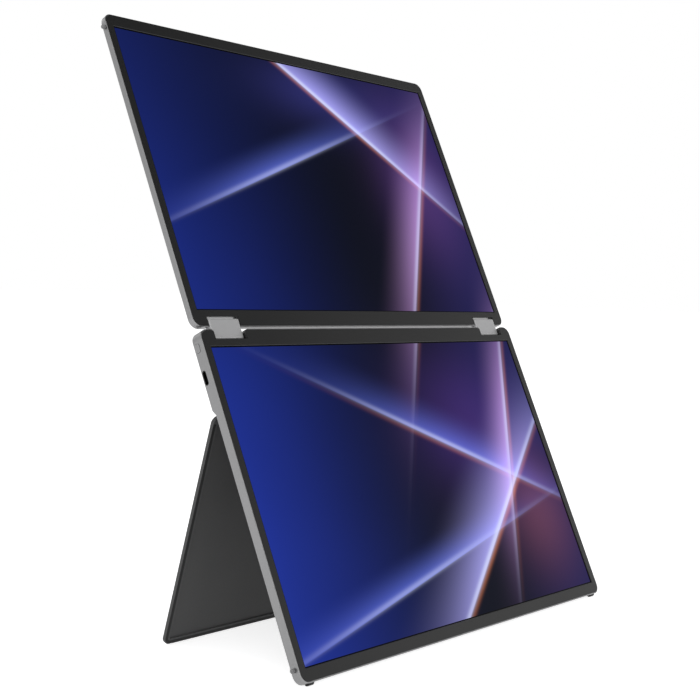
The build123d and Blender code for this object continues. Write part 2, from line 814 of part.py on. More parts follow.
# Kickstand
def kickstand_plate():
    """Plate with a raised rim round a shallow field on its inner face, slotted along its tip."""
    inner_face = KICK.offset(-kick_thickness / 2)
    height = kick_end - kick_start
    field_radius = kick_corner_radius - kick_rim
    with BuildPart(KICK) as plate:
        with BuildSketch(inner_face):
            with Locations((0, kick_start + height / 2)):
                RectangleRounded(kick_width, height, kick_corner_radius)
        extrude(amount=kick_thickness)
        chamfer(plate.faces().sort_by(normal_axis(KICK))[0].edges(), kick_edge_chamfer)
        chamfer(plate.faces().sort_by(normal_axis(KICK))[-1].edges(), kick_edge_chamfer)
        with BuildSketch(inner_face):
            with Locations((0, kick_start + height / 2)):
                RectangleRounded(kick_width - 2 * kick_rim, height - 2 * kick_rim, field_radius)
            with Locations((-kick_hinge_x, kick_start), (kick_hinge_x, kick_start)):
                Rectangle(kick_arm_width + 2 * fit_gap, 4 * kick_rim)
        extrude(amount=kick_field, mode=Mode.SUBTRACT)
        with BuildSketch(inner_face.offset(kick_field)):
            with Locations(*kick_screw_places()):
                Circle(sunk_radius + fit_gap)
        extrude(amount=sunk_grip, mode=Mode.SUBTRACT)
        with BuildSketch(KICK_SECTION):
            with Locations((kick_end, 0)):
                slot_align = (Align.MAX, Align.CENTER)
                Rectangle(kick_strip_root, kick_strip_thickness + 2 * fit_gap, align=slot_align)
        extrude(amount=kick_strip_length / 2 + fit_gap, both=True, mode=Mode.SUBTRACT)
    return plate


def kickstand_arm(side):
    """Hinge leaf with a barrel rolled round the pivot pin."""
    with BuildPart(KICK) as arm:
        with BuildSketch(KICK_SECTION.offset(side * kick_hinge_x)):
            Circle(barrel_radius)
            with Locations((0, -barrel_radius)):
                Rectangle(kick_arm_length, kick_field, align=Align.MIN)
            Circle(kick_pin_radius + running_gap, mode=Mode.SUBTRACT)
        extrude(amount=kick_arm_width / 2, both=True)
        places = [place for place in kick_screw_places() if place[0] * side > 0]
        with Locations(*[(x, run, -barrel_radius) for x, run in places]):
            sunk_shape(kick_field, fit_gap, Mode.SUBTRACT)
    return arm


def kickstand_pins():
    """Pivot pins, held in the ears of the rear cover."""
    with BuildPart() as pins:
        for side in SIDES.values():
            with BuildSketch(KICK_SECTION.offset(side * kick_hinge_x)):
                Circle(kick_pin_radius)
            extrude(amount=kick_knuckle_width / 2, both=True)
    return pins


def kickstand_strip():
    """Rubber strip in the slot of the tip, with a round edge to stand on."""
    root = tip_reach - kick_end + kick_strip_root
    with BuildPart() as strip:
        with BuildSketch(KICK_SECTION):
            with Locations((tip_reach, 0)):
                Circle(strip_radius)
                Rectangle(root, kick_strip_thickness, align=(Align.MAX, Align.CENTER))
        extrude(amount=kick_strip_length / 2, both=True)
    return strip


# Feet
def bottom_feet():
    """Two round-faced rubber feet, rooted in slots of the bottom edge."""
    with BuildPart() as feet:
        for side in SIDES.values():
            with BuildSketch(LOWER_SECTION.offset(side * foot_x)):
                with Locations((half_height - foot_height, -foot_depth)):
                    Circle(foot_radius)
            extrude(amount=foot_length / 2, both=True)
        split(bisect_by=BOTTOM_EDGE, keep=Keep.TOP)
        with BuildSketch(BOTTOM_EDGE):
            with Locations((-foot_x, foot_depth), (foot_x, foot_depth)):
                Rectangle(foot_root_length, foot_root_width)
        extrude(amount=-case_wall)
    return feet


def edge_foot(half, depth):
    """Round rubber foot on a half's left edge, for standing the halves upright like a book."""
    edge = edge_plane(half, -1)
    out = outward(half, -1)
    with BuildPart() as foot:
        with BuildSketch(edge):
            with Locations((edge_foot_run, depth)):
                Circle(edge_foot_radius)
        extrude(amount=out * edge_foot_proud)
        chamfer(foot.edges().group_by(Axis.X)[0], edge_foot_chamfer)
        with BuildSketch(edge):
            with Locations((edge_foot_run, depth)):
                Circle(edge_foot_root)
        extrude(amount=-out * case_wall)
    return foot


# Boards, ports and buttons of the lower half
def circuit_board(side):
    """Board of one side of the thick section, with a tab beside the hinge notch for the switches."""
    with BuildPart() as board:
        with BuildSketch(LOWER.offset(-board_front)):
            with Locations((across(LOWER, side * (board_inner + board_width / 2)), board_start)):
                Rectangle(board_width, board_end - board_start, align=(Align.CENTER, Align.MIN))
            with Locations((across(LOWER, side * (board_outer - board_tab_width / 2)), board_tab_start)):
                Rectangle(board_tab_width, board_end - board_tab_start, align=(Align.CENTER, Align.MIN))
            with Locations(*board_screw_places()):
                Circle(screw_radius + fit_gap, mode=Mode.SUBTRACT)
        extrude(amount=-board_thickness)
    return board


def board_chips():
    """Scaler, converter and inductors behind the main board, and the panel's connector in front of it."""
    connector_run = board_start + flex_overlap + flex_connector_length / 2
    with BuildPart() as components:
        for share, run, width, length, height in chip_sizes:
            with BuildSketch(LOWER.offset(-board_back)):
                with Locations((board_inner + share * board_width, run)):
                    Rectangle(width, length)
            extrude(amount=-height)
        with BuildSketch(LOWER.offset(-board_front)):
            with Locations((flex_x, connector_run)):
                Rectangle(flex_width, flex_connector_length)
        extrude(amount=flex_connector_height)
    return components


def board_ribbon():
    """Flat cable across the middle, from one board to the other."""
    with BuildPart() as ribbon:
        with BuildSketch(LOWER.offset(-board_front)):
            with Locations((0, ribbon_run)):
                Rectangle(2 * ribbon_reach, ribbon_width)
        extrude(amount=ribbon_thickness)
    return ribbon


def driver_board():
    """Thin board behind the hinge-side edge of the upper panel."""
    with BuildPart() as board:
        with BuildSketch(UPPER.offset(-driver_front)):
            with Locations((0, driver_start)):
                Rectangle(driver_width, driver_height, align=(Align.CENTER, Align.MIN))
        extrude(amount=-driver_thickness)
    return board


def usb_receptacle(side, run):
    """Shell of a USB-C receptacle round its tongue."""
    out = outward(LOWER, side)
    mouth = edge_plane(LOWER, side).offset(-out * port_setback)
    depth = usb_length - port_back_wall
    with BuildPart() as port:
        with BuildSketch(mouth):
            with Locations((run, port_depth)):
                SlotOverall(usb_width, usb_height)
        extrude(amount=-out * usb_length)
        with BuildSketch(mouth):
            with Locations((run, port_depth)):
                SlotOverall(usb_width - 2 * usb_wall, usb_height - 2 * usb_wall)
        extrude(amount=-out * depth, mode=Mode.SUBTRACT)
        with BuildSketch(mouth.offset(-out * depth)):
            with Locations((run, port_depth)):
                Rectangle(usb_tongue_width, usb_tongue_thickness)
        extrude(amount=out * usb_tongue_length)
    return port


def hdmi_receptacle(side, run):
    """Shell of a mini-HDMI receptacle round its tongue."""
    shell = hdmi_outline(0)
    hollow = hdmi_outline(-hdmi_wall)
    out = outward(LOWER, side)
    mouth = edge_plane(LOWER, side).offset(-out * port_setback)
    depth = hdmi_length - port_back_wall
    with BuildPart() as port:
        with BuildSketch(mouth):
            with Locations((run, port_depth)):
                add(shell)
        extrude(amount=-out * hdmi_length)
        with BuildSketch(mouth):
            with Locations((run, port_depth)):
                add(hollow)
        extrude(amount=-out * depth, mode=Mode.SUBTRACT)
        with BuildSketch(mouth.offset(-out * depth)):
            with Locations((run, port_depth)):
                Rectangle(hdmi_tongue_width, usb_tongue_thickness)
        extrude(amount=out * usb_tongue_length)
    return port


def edge_button(side, run):
    """Button in a hole of the case's edge, held in by a lip behind the wall."""
    out = outward(LOWER, side)
    edge = edge_plane(LOWER, side)
    lip_start = case_wall + fit_gap
    lip_length = button_length + 2 * button_lip
    lip_height = button_height + 2 * button_lip
    with BuildPart() as button:
        with BuildSketch(edge.offset(out * button_proud)):
            with Locations((run, button_depth)):
                RectangleRounded(button_length, button_height, button_corner - button_gap)
        extrude(amount=-out * (button_proud + lip_start))
        with BuildSketch(edge.offset(-out * lip_start)):
            with Locations((run, button_depth)):
                RectangleRounded(lip_length, lip_height, button_corner)
        extrude(amount=-out * button_lip_thickness)
    return button


def tact_switches():
    """Switches on the boards' tabs, their stems just clear of the pressed buttons."""
    stem_tip = case_wall + 2 * fit_gap + button_lip_thickness + button_travel
    places = [(-1, power_run)] + [(1, run) for run in key_runs]
    with BuildPart() as switches:
        for side, run in places:
            out = outward(LOWER, side)
            edge = edge_plane(LOWER, side)
            with BuildSketch(edge.offset(-out * stem_tip)):
                with Locations((run, button_depth)):
                    Circle(switch_stem_radius)
            extrude(amount=-out * switch_stem)
            with BuildSketch(edge.offset(-out * (stem_tip + switch_stem))):
                with Locations((run, board_back)):
                    Rectangle(switch_width, 2 * (button_depth - board_back), align=(Align.CENTER, Align.MIN))
            extrude(amount=-out * switch_length)
    return switches


def tripod_insert():
    """Brass insert with a blind quarter-inch socket that opens at the rear."""
    with BuildPart() as insert:
        with BuildSketch(LOWER.offset(-lower_depth)):
            with Locations((0, tripod_run)):
                Circle(tripod_outer_radius)
        extrude(amount=lower_depth - tripod_seat)
        with BuildSketch(LOWER.offset(-lower_depth)):
            with Locations((0, tripod_run)):
                Circle(tripod_radius)
        extrude(amount=tripod_length, mode=Mode.SUBTRACT)
    return insert


# Lower half
save(lower_rear_cover(), "lower_rear_cover")
save(front_bezel(LOWER, lower_notch), "lower_bezel")
save(panel_gasket(LOWER), "lower_panel_gasket")
save(display_panel(LOWER), "lower_display_panel")
save(panel_carrier(LOWER, cover_screw_places()), "lower_panel_carrier")
save(panel_flex(LOWER_SECTION, flex_x, board_front, board_start), "lower_panel_flex")
save(circuit_board(-1), "main_board")
save(circuit_board(1), "io_board")
save(board_chips(), "main_board_chips")
save(board_ribbon(), "board_ribbon")
save(usb_receptacle(-1, usb_left_run), "usb_c_left")
save(usb_receptacle(1, usb_right_run), "usb_c_right")
save(hdmi_receptacle(1, hdmi_right_run), "mini_hdmi")
save(tact_switches(), "tact_switches")
save(tripod_insert(), "tripod_insert")
save(bottom_feet(), "bottom_feet")
save(edge_foot(LOWER, thin_depth - edge_foot_rear), "lower_edge_foot")
save(sunk_screws(LOWER, cover_screw_places(), thin_depth, thin_depth - carrier_front), "rear_cover_screws")
save(pan_screws(LOWER, board_screw_places(), board_front, board_thickness), "board_screws")
save(kickstand_pins(), "kickstand_pins")

# Upper half
save(upper_rear_cover(), "upper_rear_cover")
save(front_bezel(UPPER, upper_notch), "upper_bezel")
save(panel_gasket(UPPER), "upper_panel_gasket")
save(display_panel(UPPER), "upper_display_panel")
save(panel_carrier(UPPER, ()), "upper_panel_carrier")
save(panel_flex(UPPER_SECTION, 0, driver_front, driver_start), "upper_panel_flex")
save(driver_board(), "upper_driver_board")
save(edge_foot(UPPER, upper_depth - edge_foot_rear), "upper_edge_foot")

# Hinges, from the lower half to the upper one
lower_leaf_front = lower_axis_depth - bracket_thickness / 2
upper_leaf_front = upper_axis_depth - bracket_thickness / 2
for name, side in SIDES.items():
    save(hinge_bracket(LOWER, side, lower_axis_depth, 0), f"{name}_lower_bracket")
    save(hinge_shaft(side, 0), f"{name}_lower_shaft")
    save(hinge_block(side), f"{name}_hinge_block")
    save(hinge_cap(side), f"{name}_hinge_cap")
    save(friction_clips(side), f"{name}_friction_clips")
    save(hinge_shaft(side, axis_spacing), f"{name}_upper_shaft")
    save(hinge_bracket(UPPER, side, upper_axis_depth, axis_spacing), f"{name}_upper_bracket")
save(pan_screws(LOWER, bracket_screw_places(), lower_leaf_front, bracket_thickness), "lower_bracket_screws")
save(pan_screws(UPPER, bracket_screw_places(), upper_leaf_front, bracket_thickness), "upper_bracket_screws")

# Kickstand
save(kickstand_plate(), "kickstand_plate")
save(kickstand_strip(), "kickstand_strip")
for name, side in SIDES.items():
    save(kickstand_arm(side), f"{name}_kickstand_arm")
arm_screw_length = kick_field + sunk_grip - fit_gap
save(sunk_screws(KICK, kick_screw_places(), barrel_radius, arm_screw_length), "kickstand_arm_screws")

# Buttons
save(edge_button(-1, power_run), "power_button")
for label, run in zip(("menu_key_near", "menu_key_far"), key_runs):
    save(edge_button(1, run), label)

# Places that the joints turn about, and the socket's mouth
for label, place in (
    ("lower hinge axis", stand(lower_axis_depth, half_height - axis_inset)),
    ("upper hinge axis", stand(lower_axis_depth, half_height - axis_inset + axis_spacing)),
    ("kickstand axis", KICK.origin),
    ("tripod socket", stand(lower_depth, half_height - tripod_run)),
    ("rear normal", -screen_normal),
):
    print(label, [round(value, 5) for value in place])
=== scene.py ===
import json
from math import asin, cos, pi, radians, sin

import bmesh
import bpy
from mathutils import Matrix, Vector


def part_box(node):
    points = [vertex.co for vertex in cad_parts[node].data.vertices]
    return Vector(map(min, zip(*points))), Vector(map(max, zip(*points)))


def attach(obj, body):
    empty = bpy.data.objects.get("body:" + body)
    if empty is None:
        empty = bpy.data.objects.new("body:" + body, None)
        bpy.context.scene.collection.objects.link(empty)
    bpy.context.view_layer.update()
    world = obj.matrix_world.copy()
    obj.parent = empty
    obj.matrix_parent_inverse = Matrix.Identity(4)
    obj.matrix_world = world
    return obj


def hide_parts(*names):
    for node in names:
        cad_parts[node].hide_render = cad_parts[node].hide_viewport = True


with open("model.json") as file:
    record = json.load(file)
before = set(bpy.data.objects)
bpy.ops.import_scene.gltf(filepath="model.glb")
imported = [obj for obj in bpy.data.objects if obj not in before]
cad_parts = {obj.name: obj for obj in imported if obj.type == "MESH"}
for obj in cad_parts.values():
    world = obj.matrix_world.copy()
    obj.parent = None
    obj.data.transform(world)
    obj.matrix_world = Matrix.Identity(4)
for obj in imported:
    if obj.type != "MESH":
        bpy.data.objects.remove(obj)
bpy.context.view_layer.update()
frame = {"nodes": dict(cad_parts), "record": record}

# Dual portable monitor, leaning on its kickstand with both screens lit.
# Lengths are in metres in the frame, and in millimetres where MM scales them or on the picture's canvas.
record = frame["record"]
mounts = {mount["name"]: mount for mount in record["mounts"]}
joints = {joint["name"]: joint for joint in record["behaviour"]["joints"]}
MM = 0.001
rear = Vector(mounts["tripod_socket"]["axis"])
up_screen = Vector((0, -rear.z, rear.y))
across = Vector((1, 0, 0))
kick_angle = radians(-joints["kickstand_swing"]["range_deg"][0]) - asin(-rear.z)
kick_front = Vector((0, -cos(kick_angle), -sin(kick_angle)))

# Picture of each half, and how far its panel reaches past it at the hinge side and at the other sides
picture_width = 301.6
picture_height = 188.5
panel_hinge_margin = 4.0
panel_margin = 1.5
panel_thickness = 1.1

# Countersunk screws with a cross recess
screw_head_radius = 1.3
screw_shank_radius = 0.6
screw_cone = 0.7
screw_edge = 0.06
screw_segments = 40
recess_reach = 0.72
recess_half_width = 0.17
recess_depth = 0.42
recess_taper = 0.75
screw_spacing = 4.0

# Tripod insert with a quarter-inch thread of 20 turns to the inch
insert_radius = 4.5
insert_length = 5.4
insert_edge = 0.2
thread_start_radius = 3.3
thread_outer_radius = 3.1
thread_inner_radius = 2.6
thread_pitch = 1.27
thread_length = 4.7
thread_rows_per_turn = 10
thread_segments = 64

# Contacts on the tongues of the receptacles
contact_rows = {"usb_c_left": (12, 0.5), "usb_c_right": (12, 0.5), "mini_hdmi": (9, 0.8)}
contact_width = 0.26
contact_length = 3.2
contact_tip = 2.6
contact_proud = 0.02
tongue_thickness = 0.7

# Black sheets of painted shade on the side walls of the hinge notches, open round the shafts
shade_sheet_thickness = 0.1
shade_sheet_wall_gap = 0.6
shade_sheet_hole_radius = 1.3
shade_sheet_segments = 32
# Each half's shade sheets: the joint on their axis, then how far they reach below, above, in front and behind
# it
shade_sheet_reach = {
    "lower_half": ("hinge_lower", 3.1, 1.2, 3.8, 3.1),
    "upper_half": ("hinge_upper", 2.2, 3.2, 1.4, 1.6),
}

# Painted shade: a thin dark strip along the inner face of the kickstand, round its sides and its tip, where
# the foot of its rim is shaded
shade_strip_inset = 0.35
shade_strip_width = 2.0
shade_strip_thickness = 0.04
shade_strip_corner = 4.5
shade_strip_corner_steps = 12

# Camera: where the photograph was taken from, and its framing
camera_place = Vector((-0.6545, -0.55394, 0.21877))
camera_look = Vector((0.7588, 0.6477, -0.06926))
camera_up = Vector((0.0320, 0.06915, 0.99721))
camera_lens = 65.72
camera_shift = (-0.0190, 0.0355)

# Light
floor_size = 30.0
floor_glow = 0.76
sky_for_diffuse = 0.55
ceiling_glow = 0.14
ceiling_start = 0.26
ceiling_full = 0.54
light_target = (0, 0, 0.2)
# Each lamp's name, place, size and power
lamps = (
    ("key", (-1.2, -0.9, 1.5), 1.2, 5),
    ("fill", (1.7, 0.3, 1.2), 1.4, 2),
    ("back", (-0.4, 1.4, 1.3), 1.2, 4),
    ("side", (-1.5, -0.7, 0.3), 0.5, 2),
)

# Part of the noise nodes' output that most of their values lie in
noise_low = 0.3
noise_high = 0.7


class Graph:
    """A material and short ways to add its nodes. Values may be numbers, colours or other nodes' outputs."""

    def __init__(self, name):
        self.material = bpy.data.materials.new(name)
        self.material.use_nodes = True
        self.tree = self.material.node_tree
        self.shader = self.tree.nodes["Principled BSDF"]
        self.coordinates = self.add("ShaderNodeTexCoord").outputs["Object"]

    def add(self, kind, **settings):
        node = self.tree.nodes.new(kind)
        for key, value in settings.items():
            setattr(node, key, value)
        return node

    def put(self, socket, value):
        if isinstance(value, bpy.types.NodeSocket):
            self.tree.links.new(value, socket)
        else:
            socket.default_value = value

    def set(self, **values):
        """Sets the shader's inputs, named with underscores for spaces."""
        for key, value in values.items():
            self.put(self.shader.inputs[key.replace("_", " ")], value)
        return self

    def math(self, operation, *values):
        node = self.add("ShaderNodeMath", operation=operation)
        for socket, value in zip(node.inputs, values):
            self.put(socket, value)
        return node.outputs[0]

    def mix(self, factor, first, second, blend="MIX"):
        node = self.add("ShaderNodeMix", data_type="RGBA", blend_type=blend)
        for socket, value in zip((node.inputs[0], node.inputs[6], node.inputs[7]), (factor, first, second)):
            self.put(socket, value)
        return node.outputs[2]

    def span(self, value, low, high, out_low=0.0, out_high=1.0, smooth=False):
        """Maps low..high to out_low..out_high, clamped."""
        node = self.add("ShaderNodeMapRange", interpolation_type="SMOOTHSTEP" if smooth else "LINEAR")
        for socket, number in zip(node.inputs, (value, low, high, out_low, out_high)):
            self.put(socket, number)
        return node.outputs[0]

    def noise(self, size, detail=2.0, stretch=(1, 1, 1)):
        """Noise with features of about the given size in metres, stretched along the axes."""
        mapping = self.add("ShaderNodeMapping")
        self.put(mapping.inputs["Vector"], self.coordinates)
        mapping.inputs["Scale"].default_value = [1 / (size * s) for s in stretch]
        node = self.add("ShaderNodeTexNoise")
        self.put(node.inputs["Vector"], mapping.outputs[0])
        node.inputs["Scale"].default_value = 1.0
        node.inputs["Detail"].default_value = detail
        return node.outputs["Fac"]

    def spread(self, noise, low=0.0, high=1.0):
        """Maps a noise's usual values to low..high, clamped."""
        return self.span(noise, noise_low, noise_high, low, high)

    def grain(self, size, low, high, detail=3.0, stretch=(1, 1, 1)):
        """Noise spread over low..high."""
        return self.spread(self.noise(size, detail, stretch), low, high)

    def bump(self, height, depth):
        """Bump of a height map whose full range is depth metres."""
        node = self.add("ShaderNodeBump")
        node.inputs["Strength"].default_value = 0.5
        node.inputs["Distance"].default_value = depth
        self.put(node.inputs["Height"], height)
        self.put(self.shader.inputs["Normal"], node.outputs[0])
        return self

    def edge(self, radius, amount):
        """Up to amount on edges that a bevel of the given radius would round, 0 on flats."""
        bevel = self.add("ShaderNodeBevel", samples=6)
        bevel.inputs["Radius"].default_value = radius
        flat = self.add("ShaderNodeNewGeometry").outputs["Normal"]
        dot = self.add("ShaderNodeVectorMath", operation="DOT_PRODUCT")
        self.put(dot.inputs[0], bevel.outputs[0])
        self.put(dot.inputs[1], flat)
        return self.span(dot.outputs["Value"], 0.995, 0.9, 0.0, amount)


def grey(value):
    """Neutral linear colour, very slightly cool as anodised metal and black plastic are."""
    return (value, value, value * 1.01, 1)


# Materials, one for each slot of the record
def blasted_metal(name, base, roughness, pit_size, metallic=1.0):
    """Bead-blasted, anodised or silvered metal: fine pits, a slow drift of tone, and paler edges that are
    partly wear and partly a painted highlight.
    """
    g = Graph(name)
    pits = g.noise(pit_size, 3.0)
    tone = g.mix(g.grain(0.05, 0.0, 1.0, 2.0), grey(base * 0.97), grey(base * 1.03))
    tone = g.mix(g.spread(pits, 0.0, 0.12), tone, grey(base * 0.6))
    # Paler edges: partly wear, partly a painted highlight where the edges would catch the light
    tone = g.mix(g.edge(0.0004, 0.45), tone, grey(base * 1.7))
    rough = g.spread(pits, roughness - 0.05, roughness + 0.06)
    g.set(Base_Color=tone, Metallic=metallic, Roughness=rough)
    return g.bump(pits, 0.00001).material


def case_metal():
    return blasted_metal("case_metal", 0.27, 0.36, 0.0005)


def hinge_metal():
    return blasted_metal("hinge_metal", 0.6, 0.42, 0.0004, 0.4)


def button_metal():
    return blasted_metal("button_metal", 0.27, 0.32, 0.0004)


def kickstand_black():
    """Satin charcoal finish with fine pits, paler along its rim, partly wear and partly a painted highlight.
    """
    g = Graph("kickstand_black")
    pits = g.noise(0.0005, 3.0)
    tone = g.mix(g.grain(0.06, 0.0, 1.0, 2.0), grey(0.088), grey(0.1))
    tone = g.mix(g.spread(pits, 0.0, 0.3), tone, grey(0.05))
    # Paler rim: partly wear, partly a painted highlight along the edges
    tone = g.mix(g.edge(0.0004, 0.4), tone, grey(0.25))
    g.set(Base_Color=tone, Roughness=g.spread(pits, 0.36, 0.48), Specular_IOR_Level=0.2)
    return g.bump(pits, 0.00001).material


def bezel_black():
    """Charcoal bezel with a very fine moulded grain and a painted highlight along its edges."""
    g = Graph("bezel_black")
    grain = g.noise(0.0005, 3.0)
    tone = g.mix(g.spread(grain), grey(0.004), grey(0.007))
    # Paler edges: a painted highlight along the bezel's edges
    tone = g.mix(g.edge(0.0003, 0.2), tone, grey(0.03))
    rough = g.math("ADD", g.spread(grain, 0.36, 0.46), g.grain(0.08, -0.03, 0.03, 2.0))
    g.set(Base_Color=tone, Roughness=rough)
    return g.bump(grain, 0.000012).material


def speckled(name, dark, pale, size, roughness, depth, gloss=0.5):
    """Matt material whose tone and height vary together."""
    g = Graph(name)
    grain = g.noise(size, 4.0)
    tone = g.mix(g.spread(grain), dark, pale)
    g.set(Base_Color=tone, Roughness=g.spread(grain, roughness - 0.06, roughness + 0.06))
    g.set(Specular_IOR_Level=gloss)
    return g.bump(grain, depth).material


def foot_rubber():
    return speckled("foot_rubber", grey(0.008), grey(0.018), 0.0004, 0.7, 0.00003, 0.35)


def stud_grey():
    return speckled("stud_grey", grey(0.24), grey(0.31), 0.0004, 0.6, 0.00002, 0.35)


def foam():
    return speckled("foam", grey(0.008), grey(0.03), 0.0003, 0.85, 0.00008)


def flex_film():
    return speckled("flex_film", (0.28, 0.12, 0.02, 1), (0.42, 0.2, 0.04, 1), 0.0015, 0.35, 0.00001)


def board_green():
    return speckled("board_green", (0.006, 0.045, 0.02, 1), (0.012, 0.09, 0.04, 1), 0.0012, 0.4, 0.00002)


def chip_black():
    return speckled("chip_black", grey(0.008), grey(0.022), 0.0003, 0.5, 0.00001)


def drawn_metal(name, dark, pale, roughness, stretch):
    """Metal with drawn or ground lines along an axis."""
    g = Graph(name)
    lines = g.noise(0.0004, 3.0, stretch)
    tone = g.mix(g.spread(lines), dark, pale)
    rough = g.spread(lines, roughness - 0.07, roughness + 0.08)
    g.set(Base_Color=tone, Metallic=1.0, Roughness=rough)
    return g.bump(lines, 0.000006).material


def port_steel():
    return drawn_metal("port_steel", grey(0.05), grey(0.09), 0.4, (12, 1, 1))


def screw_steel():
    return drawn_metal("screw_steel", grey(0.2), grey(0.33), 0.32, (1, 1, 1))


def hinge_steel():
    return drawn_metal("hinge_steel", grey(0.34), grey(0.48), 0.26, (0.3, 6, 6))


def insert_brass():
    return drawn_metal("insert_brass", (0.52, 0.36, 0.14, 1), (0.68, 0.5, 0.22, 1), 0.3, (1, 1, 1))


def carrier_metal():
    return drawn_metal("carrier_metal", grey(0.3), grey(0.42), 0.35, (20, 1, 1))


# Lit displays: soft pools of colour crossed by straight beams, each bright along one side
def panel_bottom(node):
    """How far up the screens a panel's bottom edge is, from the frame's origin."""
    low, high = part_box(node)
    return up_screen.dot(Vector((0, low[1], low[2] - rear.z * panel_thickness * MM)))


lower_panel = panel_bottom("lower_display_panel")
lower_picture = panel_margin
upper_picture = (panel_bottom("upper_display_panel") - lower_panel) / MM + panel_hinge_margin


class Canvas(Graph):
    """Picture nodes in millimetres: u to the right of the middle, v up from the lower panel's bottom edge."""

    def __init__(self, name):
        super().__init__(name)
        self.u = self.math("DIVIDE", self.reach(across), MM)
        self.v = self.math("DIVIDE", self.math("SUBTRACT", self.reach(up_screen), lower_panel), MM)

    def reach(self, way):
        """Distance along a direction."""
        dot = self.add("ShaderNodeVectorMath", operation="DOT_PRODUCT")
        self.put(dot.inputs[0], self.coordinates)
        dot.inputs[1].default_value = way
        return dot.outputs["Value"]

    def bell(self, value, middle, width):
        """1 at the middle, falling off softly over the width."""
        offset = self.math("DIVIDE", self.math("SUBTRACT", value, middle), width)
        return self.math("EXPONENT", self.math("MULTIPLY", self.math("POWER", offset, 2), -1))

    def pool(self, u, v, width, height):
        """Soft round glow, 1 at its middle."""
        return self.math("MULTIPLY", self.bell(self.u, u, width), self.bell(self.v, v, height))

    def beam(self, u, v, angle, width, length):
        """Straight beam through a point: its body, the bright line of its hard side and a fringe beyond."""
        du = self.math("SUBTRACT", self.u, u)
        dv = self.math("SUBTRACT", self.v, v)
        side_u, side_v = -sin(radians(angle)), cos(radians(angle))
        side = self.math("ADD", self.math("MULTIPLY", du, side_u), self.math("MULTIPLY", dv, side_v))
        along = self.math("ADD", self.math("MULTIPLY", du, side_v), self.math("MULTIPLY", dv, -side_u))
        ends = self.bell(along, 0, length)
        fade = self.math("POWER", self.span(side, 0.0, width, 1.0, 0.0), 2.2)
        body = self.math("MULTIPLY", self.span(side, 0.0, 0.8), fade)
        line = self.bell(side, 1.6, 1.9)
        fringe = self.bell(side, -1.6, 1.8)
        return [self.math("MULTIPLY", part, ends) for part in (body, line, fringe)]

    def inside(self, value, start, size):
        """1 where the value is from start to start + size, 0 elsewhere."""
        above = self.math("GREATER_THAN", value, start)
        below = self.math("LESS_THAN", value, start + size)
        return self.math("MULTIPLY", above, below)


deep_blue = (0.013, 0.034, 0.33, 1)
night = (0.002, 0.003, 0.01, 1)
dusk = (0.012, 0.012, 0.09, 1)
lavender = (0.42, 0.40, 0.92, 1)
azure = (0.10, 0.14, 0.60, 1)
mauve = (0.42, 0.24, 0.52, 1)
ice = (0.62, 0.66, 0.95, 1)
amber = (0.42, 0.13, 0.05, 1)

# Where the blue glow fades across and up the picture, and where dusk comes in
glow_across = (-155, 25)
glow_falloff = 1.8
glow_up = (60, 400)
glow_at_top = 0.3
dusk_across = (40, 150)
dusk_share = 0.8

# Each pool's middle, width and height, and its colour
pools = (
    ((70, 130, 60, 50), (0.035, 0.014, 0.11, 1)),
    ((112, 320, 42, 60), (0.06, 0.022, 0.09, 1)),
    ((118, 60, 36, 42), (0.10, 0.028, 0.02, 1)),
    ((30, 385, 60, 26), (0.02, 0.02, 0.12, 1)),
)
# Each beam's place, angle, width and length, its colour, and how bright its line and its fringe are
beams = (
    ((34, 372, -36, 44, 105), lavender, 0.9, 0.5),
    ((-36, 318, 22, 26, 90), azure, 0.35, 0.0),
    ((92, 280, 61, 40, 100), mauve, 0.5, 0.4),
    ((64, 52, 40, 56, 110), lavender, 0.9, 0.6),
    ((46, 112, -24, 32, 92), azure, 0.5, 0.3),
    ((116, 128, 67, 34, 80), mauve, 0.5, 0.5),
    ((-30, 30, 13, 24, 110), azure, 0.35, 0.0),
)


def display_glass():
    """Dark glass over the lit picture, with the panel's black border round it."""
    c = Canvas("display_glass")
    glow = c.math("POWER", c.span(c.u, *glow_across, 1.0, 0.0), glow_falloff)
    glow = c.math("MULTIPLY", glow, c.span(c.v, *glow_up, 1.0, glow_at_top))
    glow = c.math("MULTIPLY", glow, c.grain(0.12, 0.85, 1.0, 1.0))
    picture = c.mix(glow, night, deep_blue)
    picture = c.mix(c.span(c.u, *dusk_across, 0.0, dusk_share, smooth=True), picture, dusk)
    for place, colour in pools:
        picture = c.mix(c.pool(*place), picture, colour, "ADD")
    for place, colour, line_glow, fringe_glow in beams:
        body, line, fringe = c.beam(*place)
        picture = c.mix(body, picture, colour, "ADD")
        picture = c.mix(c.math("MULTIPLY", line, line_glow), picture, ice)
        picture = c.mix(c.math("MULTIPLY", fringe, fringe_glow), picture, amber, "ADD")
    lower_rows = c.inside(c.v, lower_picture, picture_height)
    rows = c.math("ADD", lower_rows, c.inside(c.v, upper_picture, picture_height))
    lit = c.math("MULTIPLY", rows, c.inside(c.u, -picture_width / 2, picture_width))
    c.set(
        Base_Color=(0.004, 0.004, 0.005, 1),
        Roughness=c.grain(0.06, 0.14, 0.18, 1.0),
        Specular_IOR_Level=0.03,
        Emission_Color=picture,
        Emission_Strength=lit,
    )
    return c.material


makers = (
    case_metal, hinge_metal, button_metal, kickstand_black, bezel_black, foot_rubber, stud_grey, foam,
    flex_film, board_green, chip_black, port_steel, screw_steel, hinge_steel, insert_brass, carrier_metal,
    display_glass,
)
materials = {make.__name__: make() for make in makers}
for subpart in record["subparts"]:
    mesh = frame["nodes"][subpart["node"]].data
    mesh.materials.clear()
    mesh.materials.append(materials[subpart["material_slot"]])


